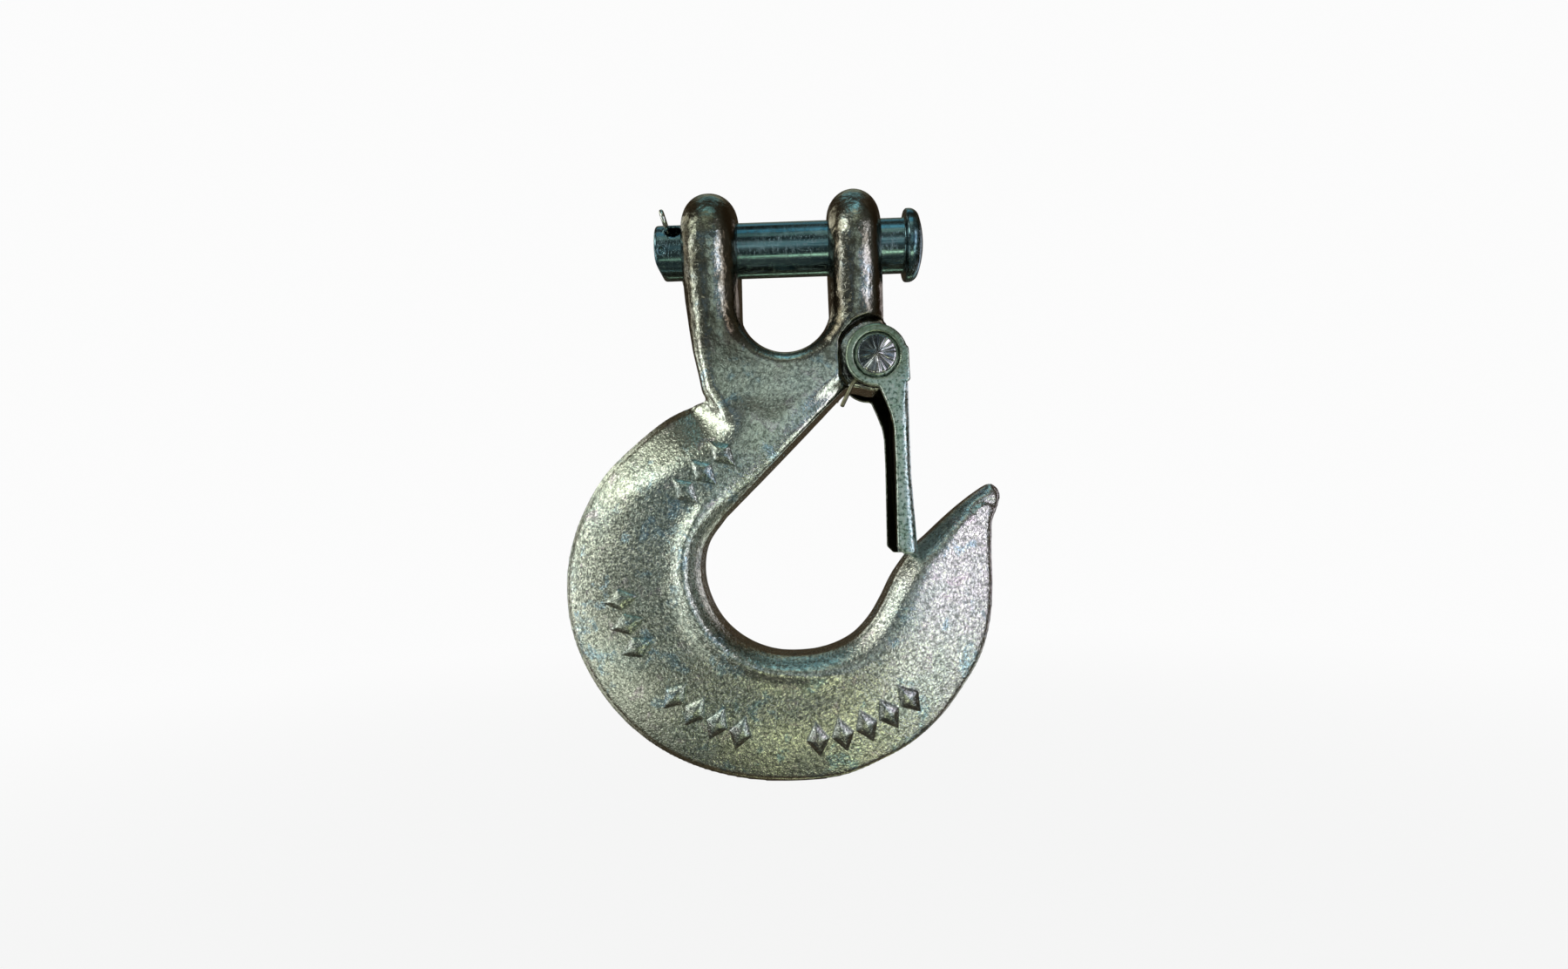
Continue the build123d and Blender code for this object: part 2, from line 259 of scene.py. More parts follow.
def smooth_line(points, steps=CURVE_STEPS):
    """A Catmull-Rom curve through the points of an open line."""
    points = np.array(points, float)
    ends = np.vstack([2 * points[0] - points[1], points, 2 * points[-1] - points[-2]])
    t = np.linspace(0, 1, steps, endpoint=False)[:, None]
    parts = []
    for a, b, c, d in zip(ends, ends[1:], ends[2:], ends[3:]):
        curve = 2 * b + (c - a) * t + (2 * a - 5 * b + 4 * c - d) * t**2
        parts.append(0.5 * (curve + (3 * b - a - 3 * c + d) * t**3))
    return np.vstack([*parts, points[-1:]])


def line_distance(line, x, z):
    """Distance from each place to an open line of points."""
    nearest = np.full(np.broadcast(x, z).shape, np.inf)
    for (ax, az), (bx, bz) in zip(line, line[1:]):
        ex, ez = bx - ax, bz - az
        along = ((x - ax) * ex + (z - az) * ez) / max(ex * ex + ez * ez, 1e-12)
        along = np.clip(along, 0.0, 1.0)
        nearest = np.minimum(nearest, (x - ax - along * ex) ** 2 + (z - az - along * ez) ** 2)
    return np.sqrt(nearest)


def outline_distance(line, x, z):
    """Signed distance from each place to a closed outline, negative inside."""
    closed = np.vstack([line, line[:1]])
    inside = np.zeros(np.broadcast(x, z).shape, bool)
    for (ax, az), (bx, bz) in zip(closed, closed[1:]):
        if az == bz:
            continue
        crosses = (az > z) != (bz > z)
        inside ^= crosses & (x < (bx - ax) * (z - az) / (bz - az) + ax)
    return np.where(inside, -1.0, 1.0) * line_distance(closed, x, z)


def circle_distance(a, b, radius):
    """Signed distance to a circle or a cylinder about the origin of two coordinates."""
    return np.hypot(a, b) - radius


def link(name, mesh):
    """An object for a mesh, at the frame's origin."""
    piece = bpy.data.objects.new(name, mesh)
    bpy.context.scene.collection.objects.link(piece)
    return piece


def mesh_from_field(name, grid, field):
    """A closed mesh where the field crosses zero, in metres."""
    volume = openvdb.FloatGrid(background=1.0)
    volume.copyFromArray(np.ascontiguousarray(field, dtype=np.float32))
    points, _, quads = volume.convertToPolygons(0.0, 0.0)
    points = (np.array(points) * grid.step + grid.low) * MM
    mesh = bpy.data.meshes.new(name)
    mesh.from_pydata(points.tolist(), [], np.array(quads)[:, ::-1].tolist())
    mesh.shade_smooth()
    return link(name, mesh)


def finish_piece(piece, node, body, material):
    """Puts a piece on its body, in place of a CAD node, with its material."""
    piece.data.materials.clear()
    piece.data.materials.append(material)
    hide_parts(node)
    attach(piece, body)


# ---------------------------------------------------------------- node trees and materials
# Noise scales are per metre, from 55 for clouds to 1500 for grain. The rivet's sectors go by angle.
class Nodes:
    """A node tree built one node at a time."""

    def __init__(self, tree):
        self.tree = tree
        tree.nodes.clear()

    def add(self, kind, inputs=None, **settings):
        node = self.tree.nodes.new(kind)
        for name, value in settings.items():
            setattr(node, name, value)
        for name, value in (inputs or {}).items():
            if isinstance(value, bpy.types.NodeSocket):
                self.tree.links.new(value, node.inputs[name])
            else:
                node.inputs[name].default_value = value
        return node

    def math(self, operation, a, b=0.0):
        return self.add("ShaderNodeMath", {0: a, 1: b}, operation=operation).outputs[0]

    def vector(self, operation, a, b, output=0):
        made = self.add("ShaderNodeVectorMath", {0: a, 1: b}, operation=operation)
        return made.outputs[output]

    def noise(self, vector, scale, detail=2.0, roughness=0.5, distortion=0.0):
        settings = {
            "Vector": vector, "Scale": scale, "Detail": detail,
            "Roughness": roughness, "Distortion": distortion,
        }
        return self.add("ShaderNodeTexNoise", settings).outputs["Fac"]

    def step(self, value, start, end, low=0.0, high=1.0):
        settings = {"Value": value, 1: start, 2: end, 3: low, 4: high}
        return self.add("ShaderNodeMapRange", settings, interpolation_type="SMOOTHSTEP").outputs[0]

    def mix(self, share, a, b, blend="MIX"):
        settings = {0: share, 6: a, 7: b}
        return self.add(
            "ShaderNodeMix", settings, data_type="RGBA", blend_type=blend
        ).outputs[2]

    def bump(self, height, distance, strength=1.0, normal=None):
        settings = {"Height": height, "Distance": distance, "Strength": strength}
        if normal:
            settings["Normal"] = normal
        return self.add("ShaderNodeBump", settings).outputs[0]

    def places(self):
        return self.add("ShaderNodeTexCoord").outputs["Object"]


def colour(red, green, blue):
    return (red, green, blue, 1.0)


def start_material(name):
    material = bpy.data.materials.new(name)
    material.use_nodes = True
    return material, Nodes(material.node_tree)


def end_material(nodes, settings):
    """A metal shader with these settings, and the output."""
    shader = nodes.add("ShaderNodeBsdfPrincipled", {"Metallic": 1.0, **settings})
    nodes.add("ShaderNodeOutputMaterial", {"Surface": shader.outputs[0]})


def forging_material(name, stain_and_shade):
    """Yellow-green chromate over zinc on a rough forging, drifting to lilac and sky blue."""
    material, nodes = start_material(name)
    at = nodes.places()
    parts = nodes.add("ShaderNodeSeparateXYZ", {0: at})
    wide = nodes.noise(at, 55.0, 3.0, 0.6, 0.6)
    patch = nodes.noise(at, 170.0, 3.0, 0.6, 0.4)
    speck = nodes.noise(at, 1100.0, 2.0, 0.6, 0.8)
    grain = nodes.noise(at, 1500.0, 2.0, 0.6, 1.0)
    # Film colours: a drift across the hook, then clouds, blue and lilac patches and fine specks
    drift = nodes.math("MULTIPLY_ADD", parts.outputs["X"], 6.0)
    nodes.tree.links.new(wide, drift.node.inputs[2])
    across = nodes.step(drift, 0.30, 0.75)
    base = nodes.mix(across, colour(0.70, 0.74, 0.65), colour(0.73, 0.71, 0.74))
    base = nodes.mix(nodes.step(wide, 0.42, 0.66, 0.0, 0.7), base, colour(0.58, 0.68, 0.64))
    base = nodes.mix(nodes.step(patch, 0.57, 0.68, 0.0, 0.7), base, colour(0.46, 0.68, 0.84))
    base = nodes.mix(nodes.step(patch, 0.42, 0.30, 0.0, 0.6), base, colour(0.78, 0.66, 0.76))
    base = nodes.mix(nodes.step(speck, 0.52, 0.62, 0.0, 0.7), base, colour(0.94, 0.96, 0.88))
    base = nodes.mix(nodes.step(speck, 0.48, 0.38, 0.0, 0.6), base, colour(0.14, 0.17, 0.14))
    # Painted shade and reflection: the arms are darkened towards brown in patches, most of all on their
    # sides, standing in for the brown room they reflect
    arms = nodes.step(parts.outputs["Z"], -34.0 * MM, -18.0 * MM)
    painted_arm_shade = nodes.math("MULTIPLY", arms, nodes.step(patch, 0.34, 0.60, 0.9, 0.45))
    base = nodes.mix(painted_arm_shade, base, colour(0.17, 0.16, 0.12))
    # Painted reflection: further brown darkening on the arms' sides, away from their middles
    off = nodes.math("SUBTRACT", nodes.math("ABSOLUTE", parts.outputs["X"]), ARM_X * MM)
    sides = nodes.step(nodes.math("ABSOLUTE", off), 2.6 * MM, 4.6 * MM, 0.0, 0.8)
    base = nodes.mix(nodes.math("MULTIPLY", arms, sides), base, colour(0.13, 0.10, 0.06))
    # Painted shade: by the given share the base is mixed to a dark blue-grey; the raised marks take 0.3
    # of it so they read dark, the rest of the hook none
    base = nodes.mix(stain_and_shade, base, colour(0.10, 0.15, 0.18))
    # The grain is shallower in the fork, and the hammered swell is mostly on the arms
    rough = nodes.step(speck, 0.3, 0.7, 0.24, 0.14)
    swell = nodes.noise(at, 260.0, 2.0, 0.5, 0.2)
    normal = nodes.bump(swell, 0.0005, nodes.step(arms, 0.0, 1.0, 0.15, 1.0))
    fork = nodes.step(parts.outputs["Z"], -58.0 * MM, -40.0 * MM)
    depth = nodes.step(fork, 0.0, 1.0, 1.0, 0.45)
    normal = nodes.bump(grain, 0.00015, depth, normal)
    end_material(nodes, {"Base Color": base, "Roughness": rough, "Normal": normal})
    return material


def streaked_material(name, light, dark, roughness, stretch):
    """A drawn or turned bar: fine streaks along X, stains and scratches."""
    material, nodes = start_material(name)
    at = nodes.places()
    drawn = nodes.vector("MULTIPLY", at, stretch)
    streak = nodes.noise(drawn, 900.0, 3.0, 0.6)
    stain_and_shade = nodes.noise(at, 170.0, 3.0, 0.6, 0.5)
    scratch = nodes.noise(nodes.vector("MULTIPLY", at, (1.0, 0.35, 0.35)), 420.0, 4.0, 0.75, 2.2)
    cut = nodes.step(nodes.math("ABSOLUTE", nodes.math("SUBTRACT", scratch, 0.5)), 0.012, 0.0)
    base = nodes.mix(nodes.step(streak, 0.35, 0.65), dark, light)
    base = nodes.mix(nodes.step(stain_and_shade, 0.5, 0.7, 0.0, 0.5), base, colour(0.28, 0.42, 0.50))
    base = nodes.mix(nodes.math("MULTIPLY", cut, 0.3), base, colour(0.8, 0.85, 0.85))
    rough = nodes.step(stain_and_shade, 0.3, 0.7, roughness, roughness + 0.12)
    normal = nodes.bump(streak, 0.00001)
    normal = nodes.bump(nodes.noise(at, 500.0, 2.0), 0.00002, 1.0, normal)
    normal = nodes.bump(cut, 0.00001, 1.0, normal)
    end_material(nodes, {"Base Color": base, "Roughness": rough, "Normal": normal})
    return material


def latch_material():
    """Satin olive chromate on pressed sheet, with a painted highlight along the bend and painted shade
    inside the channel.
    """
    material, nodes = start_material("olive sheet")
    at = nodes.places()
    cloud = nodes.noise(at, 120.0, 3.0, 0.6, 0.6)
    fine = nodes.noise(at, 1300.0, 2.0, 0.6)
    clouded = nodes.step(cloud, 0.35, 0.62)
    base = nodes.mix(clouded, colour(0.56, 0.72, 0.60), colour(0.76, 0.90, 0.84))
    base = nodes.mix(nodes.step(cloud, 0.60, 0.72, 0.0, 0.5), base, colour(0.62, 0.86, 0.94))
    parts = nodes.add("ShaderNodeSeparateXYZ", {0: at})
    # Painted highlight: a light blue band along the spine's bend
    painted_bend_highlight = nodes.step(parts.outputs["X"], 25.6 * MM, 27.2 * MM, 0.0, 0.75)
    base = nodes.mix(painted_bend_highlight, base, colour(0.70, 0.93, 1.0))
    base = nodes.mix(nodes.step(fine, 0.52, 0.64, 0.0, 0.8), base, colour(0.96, 1.0, 0.96))
    base = nodes.mix(nodes.step(fine, 0.48, 0.38, 0.0, 0.8), base, colour(0.10, 0.17, 0.13))
    ear = nodes.step(parts.outputs["Z"], -36.0 * MM, -30.0 * MM, 0.0, 0.7)
    base = nodes.mix(ear, base, colour(0.34, 0.42, 0.30))
    # Painted shade: the channel's inside, between the cheeks and short of the spine, is painted nearly
    # black
    depth = nodes.math("ABSOLUTE", parts.outputs["Y"])
    between = nodes.step(depth, (LATCH_HALF - SHEET + 0.3) * MM, (LATCH_HALF - SHEET + 0.1) * MM)
    within = nodes.step(parts.outputs["X"], 26.9 * MM, 26.6 * MM)
    base = nodes.mix(nodes.math("MULTIPLY", between, within), base, colour(0.012, 0.012, 0.006))
    rough = nodes.step(cloud, 0.3, 0.7, 0.28, 0.42)
    normal = nodes.bump(nodes.noise(at, 420.0, 3.0, 0.6), 0.0002)
    normal = nodes.bump(fine, 0.0001, 1.0, normal)
    end_material(nodes, {"Base Color": base, "Roughness": rough, "Normal": normal})
    return material


def rivet_material():
    """Bright zinc with a brush finish; painted reflections in sectors about the rivet's axis, and
    painted shade on the lower left of its head.
    """
    material, nodes = start_material("bright rivet")
    at = nodes.vector("SUBTRACT", nodes.places(), (RIVET_X * MM, 0.0, RIVET_Z * MM))
    parts = nodes.add("ShaderNodeSeparateXYZ", {0: at})
    turn = nodes.math("ARCTAN2", parts.outputs["Z"], parts.outputs["X"])
    round_it = nodes.add("ShaderNodeCombineXYZ", {"X": turn}).outputs[0]
    sector = nodes.noise(round_it, 1.6, 2.0, 0.6)
    fine = nodes.noise(nodes.places(), 1400.0, 2.0)
    # Painted reflection: the head runs from dark to bright in sectors round the axis, standing in for
    # the spun metal's reflections
    brushed_sheen = nodes.step(sector, 0.35, 0.65)
    base = nodes.mix(brushed_sheen, colour(0.16, 0.17, 0.19), colour(0.95, 0.97, 1.0))
    # Painted shade: the lower left of the head is darkened
    shade = nodes.math("MULTIPLY_ADD", parts.outputs["Z"], -0.8)
    nodes.tree.links.new(parts.outputs["X"], shade.node.inputs[2])
    painted_lower_left_shade = nodes.step(shade, 0.4 * MM, -1.2 * MM, 0.0, 0.85)
    base = nodes.mix(painted_lower_left_shade, base, colour(0.10, 0.13, 0.16))
    rough = nodes.step(fine, 0.3, 0.7, 0.16, 0.28)
    normal = nodes.bump(sector, 0.0012)
    normal = nodes.bump(fine, 0.00002, 1.0, normal)
    end_material(nodes, {"Base Color": base, "Roughness": rough, "Normal": normal})
    return material


def wire_material(name, light, dark, roughness):
    """Plated wire with a little staining along it."""
    material, nodes = start_material(name)
    at = nodes.places()
    stain_and_shade = nodes.noise(at, 450.0, 3.0, 0.6, 0.4)
    base = nodes.mix(nodes.step(stain_and_shade, 0.35, 0.65), dark, light)
    normal = nodes.bump(nodes.noise(at, 1500.0, 2.0), 0.00002)
    rough = nodes.step(stain_and_shade, 0.3, 0.7, roughness + 0.1, roughness)
    end_material(nodes, {"Base Color": base, "Roughness": rough, "Normal": normal})
    return material


# ---------------------------------------------------------------- hook body
def blend(weights, values):
    """The average of some values, weighted place by place."""
    return sum(weight * value for weight, value in zip(weights, values)) / sum(weights)


class Forging:
    """The hook's outlines, and half its thickness at any place seen from the front."""

    def __init__(self):
        self.back = smooth_line(BACK)
        self.inner = np.vstack([TIP_INNER, smooth_line(BOWL_INNER), smooth_line(SHANK_INNER)])
        self.outline = np.vstack([self.back, smooth_line(NOSE), self.inner, [(10.0, -30.0)]])
        # Slopes are measured from the edge that starts at the cusp under the left arm, which is
        # the third point of BACK, so the two stretches before it are left out.
        self.outer = np.vstack([self.back[2 * CURVE_STEPS:], NOSE[:2]])

    def half(self, x, z, from_back, from_inner):
        """Half the thickness: a slope up from the back, a flat, and a bead that rolls into the wall."""
        right = ramp(x, -4.0, 22.0)
        tip = ramp(z, -86.0, -64.0) * ramp(x, 16.0, 26.0)
        shank = ramp(z, -68.0, -52.0) * (1 - ramp(x, 18.0, 24.0))
        # Weights of the bowl's left and bottom, its right, the shank and the tip
        weights = [(1 - right) * (1 - shank), right * (1 - tip) * (1 - shank), shank, tip]
        bead_width = blend(weights, BEAD_WIDTH)
        bead = blend(weights, BEAD_HALF)
        inside = np.clip(1 - from_inner / bead_width, 0.0, 1.0)
        outside = np.maximum(from_inner - bead_width, 0.0)
        flank = bead - blend(weights, BEAD_SLOPE) * outside
        fall = blend(weights, FLAT_FALL) * np.maximum(outside - BEAD_FOOT, 0.0)
        plateau = blend(weights, FLAT_HALF) - fall
        roll = (bead - blend(weights, WALL_HALF)) * inside ** blend(weights, ROLL_POWER)
        crest = soft_max(flank, plateau, 1.0) - roll
        rise = blend(weights, BACK_SLOPE) * np.maximum(from_back - FLASH_WIDTH, 0.0)
        back = blend(weights, BACK_HALF) + rise
        bevel = BEVEL * ramp(z, -68.0, -58.0) * tip
        crease = np.exp(-((line_distance(TIP_CREASE, x, z) / CREASE_WIDTH) ** 2))
        return -soft_max(-back, -crest, 1.8) - bevel - CREASE_DEPTH * crease

    def fields(self, x, z):
        """Distance to the outline and to the back, and half the thickness, seen from the front."""
        from_back = line_distance(self.outer, x, z)
        half = self.half(x, z, from_back, line_distance(self.inner, x, z))
        return outline_distance(self.outline, x, z), from_back, half


def make_hook_body(shape):
    """The whole forging: a fork joined to a hook, then its flash, pocket, lug and bores."""
    grid = grid_round(HOOK_LOW, HOOK_HIGH, *FORGING_GRID)
    x, y, z = grid.x, grid.y, grid.z
    side, from_back, half = shape.fields(x, z)
    steep_x, steep_z = np.gradient(half[:, 0, :], grid.step)
    flatten = 1 / np.sqrt(1 + steep_x**2 + steep_z**2)[:, None, :]
    hook_face = (np.abs(y) - half) * flatten

    # The fork: its outline without the slot, and its side, round at the eyes and tapering below
    slot = circle_distance(x - SLOT_X, z - SLOT_CENTRE_Z, SLOT_RADIUS)
    gap = np.where(z > SLOT_CENTRE_Z, np.abs(x - SLOT_X) - SLOT_RADIUS, slot)
    front = np.maximum(outline_distance(np.array(FORK), x, z), -gap)
    taper = np.abs(y) - WEB_HALF - ARM_TAPER * np.maximum(z - WEB_TOP_Z, 0.0)
    taper = taper * math.cos(math.atan(ARM_TAPER))
    eye = circle_distance(y, z, EYE_RADIUS)
    fork_face = np.where(z > -EYE_RADIUS * ARM_TAPER, eye, np.minimum(eye, taper))
    rounding = EYE_ROUNDING - (EYE_ROUNDING - SADDLE_ROUNDING) * ramp(z, -14.0, -30.0)
    arms = round_max(front, fork_face, rounding)

    # The hook sinks a little below the web, from the cusp up. Its edge is sharper at the inner wall.
    into_fork = FORK_WAY[0] * (x - FORK_START[0]) + FORK_WAY[1] * (z - FORK_START[1])
    fork = ramp(into_fork, 0.0, 8.0) * ramp(z, -48.0, -32.0)
    corner = 1.3 - 0.6 * ramp(side + from_back, 0.0, 4.0)
    edge = np.maximum(side, FLASH_WIDTH - from_back)
    hook = round_max(edge, hook_face + FORK_SINK * fork**2, corner)
    body = round_min(arms, hook, 0.8)

    # The thin flash round the parting line, then the latch's pocket and lug, and the bores
    flash = round_max(side, np.abs(y) - FLASH_HALF, 0.35)
    body = round_min(body, flash, 0.3)
    pocket = np.maximum(circle_distance(x - POCKET_X, z - POCKET_Z, POCKET_RADIUS), POCKET_LEFT - x)
    pocket = np.maximum(pocket, LUG_HALF - np.abs(y))
    body = round_max(body, -pocket, 0.5)
    lug_side = circle_distance(x - RIVET_X, z - RIVET_Z, LUG_RADIUS)
    neck = outline_distance(np.array(LUG_NECK), x, z)
    lug = round_max(round_min(lug_side, neck, 1.5), np.abs(y) - LUG_HALF, 0.5)
    body = round_min(body, lug, 0.4)
    body = round_max(body, -circle_distance(y, z, BORE_RADIUS), 0.8)
    body = round_max(body, -circle_distance(x - RIVET_X, z - RIVET_Z, RIVET_HOLE_RADIUS), 0.3)
    return mesh_from_field("forged_hook", grid, body)


def lozenge_places():
    """Middle and direction, in degrees, of each raised lozenge on the front of the hook."""
    for first, count in MARK_ROWS:
        for index in range(count):
            angle = first + MARK_PITCH * index
            turn = math.radians(angle)
            yield (
                MARK_CENTRE[0] + MARK_RADIUS * math.cos(turn),
                MARK_CENTRE[1] + MARK_RADIUS * math.sin(turn),
                angle,
            )
    for step in (-1, 0, 1):
        yield (
            SHANK_MARK[0] + SHANK_PITCH[0] * step,
            SHANK_MARK[1] + SHANK_PITCH[1] * step,
            SHANK_ANGLE,
        )


def make_marks(shape):
    """Plain raised lozenges that follow the hook's front face."""
    vertices = []
    faces = []
    for middle_x, middle_z, angle in lozenge_places():
        low = (middle_x - MARK_REACH, MARK_DEPTHS[0], middle_z - MARK_REACH)
        high = (middle_x + MARK_REACH, MARK_DEPTHS[1], middle_z + MARK_REACH)
        grid = Grid(low, high, MARK_STEP)
        turn = math.radians(angle)
        along = (grid.x - middle_x) * math.cos(turn) + (grid.z - middle_z) * math.sin(turn)
        over = (grid.z - middle_z) * math.cos(turn) - (grid.x - middle_x) * math.sin(turn)
        from_edge = (1 - np.abs(along) / MARK_LONG - np.abs(over) / MARK_WIDE) * MARK_MIDDLE
        _, _, half = shape.fields(grid.x, grid.z)
        # A steep side, then a low pyramid
        rise = np.minimum(MARK_HEIGHT + 0.25 * from_edge, 0.5 + 0.6 * np.maximum(from_edge, 0.0))
        slab = np.maximum(-grid.y - half - rise, half - 0.8 + grid.y)
        part = mesh_from_field("lozenge", grid, round_max(-from_edge, slab, 0.2))
        start = len(vertices)
        vertices += [vertex.co.copy() for vertex in part.data.vertices]
        faces += [[start + v for v in face.vertices] for face in part.data.polygons]
        bpy.data.meshes.remove(part.data)
    mesh = bpy.data.meshes.new("raised_lozenges")
    mesh.from_pydata(vertices, [], faces)
    mesh.shade_smooth()
    return link("raised_lozenges", mesh)


# ---------------------------------------------------------------- pin, rivet and latch
def make_pin():
    """Headed pin: rolled at the plain end, domed at the head, drilled for the cotter."""
    grid = grid_round(PIN_LOW, PIN_HIGH, *PIN_GRID)
    x, y, z = grid.x, grid.y, grid.z
    radial = np.hypot(y, z)
    shank = round_max(radial - PIN_RADIUS, PIN_END - x, 0.7)
    # The plain end's lower corner is rolled over
    roll_x = PIN_END + ROLL_X
    roll_z = ROLL_Z - PIN_RADIUS
    corner = np.hypot((x - roll_x) / ROLL_X, (z - roll_z) / ROLL_Z) - 1
    shank = np.maximum(shank, np.where((x < roll_x) & (z < roll_z), corner * ROLL_X, -9.0))
    shank = np.maximum(shank, x - HEAD_START - 1.0)
    sphere = (HEAD_RADIUS**2 + HEAD_DOME**2) / (2 * HEAD_DOME)
    dome = np.hypot(x - PIN_HIGH[0] + sphere, radial) - sphere
    head = round_max(round_max(radial - HEAD_RADIUS, dome, 1.3), HEAD_START - x, 0.6)
    body = round_min(shank, head, 0.5)
    # The cotter's hole, and a small dimple beside it
    over = y * math.sin(COTTER_TILT) + z * math.cos(COTTER_TILT)
    body = round_max(body, -circle_distance(x - HOLE_X, over, COTTER_HOLE_RADIUS), 0.25)
    dimple = np.sqrt((x - DIMPLE[0]) ** 2 + (y - DIMPLE[1]) ** 2 + (z - DIMPLE[2]) ** 2)
    body = round_max(body, DIMPLE_RADIUS - dimple, 0.15)
    return mesh_from_field("clevis_pin_headed", grid, body)


def make_rivet():
    """Rivet with two low conical heads, each with a nib at its centre."""
    grid = grid_round(RIVET_LOW, RIVET_HIGH, *RIVET_GRID)
    out = np.abs(grid.y)
    radial = np.hypot(grid.x - RIVET_X, grid.z - RIVET_Z)
    top = RIVET_HIGH[1] - 0.25 - 0.75 * radial / RIVET_HEAD_RADIUS
    top = top + 0.25 * np.exp(-((radial / 0.8) ** 2))
    head = round_max(radial - RIVET_HEAD_RADIUS, out - top, 0.4)
    head = np.maximum(head, RIVET_HEAD_START - out)
    shaft = np.maximum(radial - RIVET_SHAFT_RADIUS, out - RIVET_HEAD_START - 0.5)
    return mesh_from_field("cone_head_rivet", grid, np.minimum(head, shaft))


def make_latch():
    """The pressed latch: two eared cheeks folded from one spine."""
    grid = grid_round(LATCH_LOW, LATCH_HIGH, *LATCH_GRID)
    x, y, z = grid.x, grid.y, grid.z
    spine = np.interp(z, *SPINE_LINE)
    inside = LATCH_HALF - SHEET
    outer = round_max(x - spine, np.abs(y) - LATCH_HALF, 1.9)
    inner = round_max(x - spine + SHEET, np.abs(y) - inside, 0.6)
    channel = np.maximum(outer, -inner)
    stem = round_max(outline_distance(np.array(LATCH_OUTLINE), x, z), channel, 0.3)
    ear = circle_distance(x - RIVET_X, z - RIVET_Z, EAR_RADIUS)
    neck = outline_distance(np.array(EAR_NECK), x, z)
    sheet = np.maximum(np.abs(y) - LATCH_HALF, inside - np.abs(y))
    cheek = round_max(round_min(ear, neck, 0.6), sheet, 0.3)
    body = np.minimum(stem, cheek)
    body = round_max(body, -circle_distance(x - RIVET_X, z - RIVET_Z, EAR_HOLE_RADIUS), 0.25)
    # A pressed groove round the rivet's head
    from_rivet = np.hypot(x - RIVET_X, z - RIVET_Z) - RIVET_HEAD_RADIUS - 0.2
    groove = np.hypot(from_rivet, np.abs(y) - LATCH_HALF) - 0.6
    body = round_max(body, -groove, 0.1)
    return mesh_from_field("pressed_latch", grid, body)


# ---------------------------------------------------------------- wire pieces
def tube(name, points, radius, sides=16):
    """A round wire along smooth points in millimetres, with rounded ends."""
    points = [Vector(point) for point in smooth_line(points, 8)]
    count = len(points)
    tangents = []
    for index in range(count):
        after = points[min(index + 1, count - 1)]
        tangents.append((after - points[max(index - 1, 0)]).normalized())
    across = tangents[0].orthogonal().normalized()
    rings = []
    for index, (point, tangent) in enumerate(zip(points, tangents)):
        across = (across - tangent * across.dot(tangent)).normalized()
        up = tangent.cross(across)
        rings.append([
            point + radius * (across * math.cos(turn) + up * math.sin(turn))
            for turn in (2 * math.pi * side / sides for side in range(sides))
        ])
    for end, way in ((0, -1), (count - 1, 1)):
        cap = points[end] + tangents[end] * way * 0.35 * radius
        small = [cap + 0.7 * (place - points[end]) for place in rings[end]]
        rings = [small] + rings if way < 0 else rings + [small]
    vertices = [place * MM for ring in rings for place in ring]
    faces = []
    for row in range(len(rings) - 1):
        for side in range(sides):
            a = row * sides + side
            b = row * sides + (side + 1) % sides
            faces.append((a, b, b + sides, a + sides))
    faces.append(tuple(reversed(range(sides))))
    faces.append(tuple(len(vertices) - sides + side for side in range(sides)))
    mesh = bpy.data.meshes.new(name)
    mesh.from_pydata(vertices, [], faces)
    mesh.shade_smooth()
    return link(name, mesh)


def make_cotter():
    """A split pin of round wire: one leg, the eye, the other leg, then turned into its hole."""
    top = PIN_RADIUS + 0.3
    low = -PIN_RADIUS - 0.8
    front = [
        (0.0, COTTER_WIRE + 3.6, low - 2.4), (0.0, COTTER_WIRE + 1.5, low - 1.3),
        (0.0, COTTER_WIRE, low + 0.3), (0.0, COTTER_WIRE, -2.0), (0.0, COTTER_WIRE, top - 1.2),
    ]
    loop = [(0.0, COTTER_WIRE + 0.1, top - 0.2)]
    for step in range(9):
        turn = math.radians(-42 + 33 * step)
        across = COTTER_EYE * 0.92 * math.cos(turn)
        loop.append((0.0, across, top + 2.2 + COTTER_EYE * math.sin(turn)))
    back = [
        (0.0, -COTTER_WIRE - 0.1, top - 0.2), (0.0, -COTTER_WIRE, top - 1.2), (0.0, -COTTER_WIRE, -2.0),
        (0.0, -COTTER_WIRE, low + 0.3), (0.0, -COTTER_WIRE - 1.0, low - 0.9),
        (0.0, -COTTER_WIRE - 2.0, low - 1.5),
    ]
    twist = Matrix.Rotation(math.radians(13), 4, "Z")
    lean = Matrix.Rotation(math.radians(-8), 4, "Y")
    tilt = Matrix.Rotation(math.radians(90) - COTTER_TILT, 4, "X")
    place = Matrix.Translation((COTTER_X, 0, 0)) @ tilt @ lean @ twist
    points = [place @ Vector(point) for point in front + loop + back]
    return tube("split_pin", points, COTTER_WIRE)


def make_spring_legs():
    """Both coils round the rivet, each with the leg that stands against the shank."""
    pieces = []
    for side, name in ((-1, "near"), (1, "far")):
        coil = []
        for step in range(COIL_STEPS + 1):
            turn = math.pi + COIL_STEP_ANGLE * step
            coil.append((
                RIVET_X + COIL_RADIUS * math.cos(turn),
                side * (COIL_OUTER - (COIL_OUTER - COIL_INNER) * step / COIL_STEPS),
                RIVET_Z + COIL_RADIUS * math.sin(turn),
            ))
        foot_x, foot_z = LEG_FEET[name]
        leg = []
        for step in range(3):
            leg.append((foot_x + LEG_STEP[0] * step, side * COIL_OUTER, foot_z + LEG_STEP[1] * step))
        leg.append((RIVET_X - COIL_RADIUS - 0.1, side * COIL_OUTER, RIVET_Z - 4.0))
        pieces.append(tube("spring_coil_" + name, leg + coil, SPRING_WIRE, 10))
    return pieces


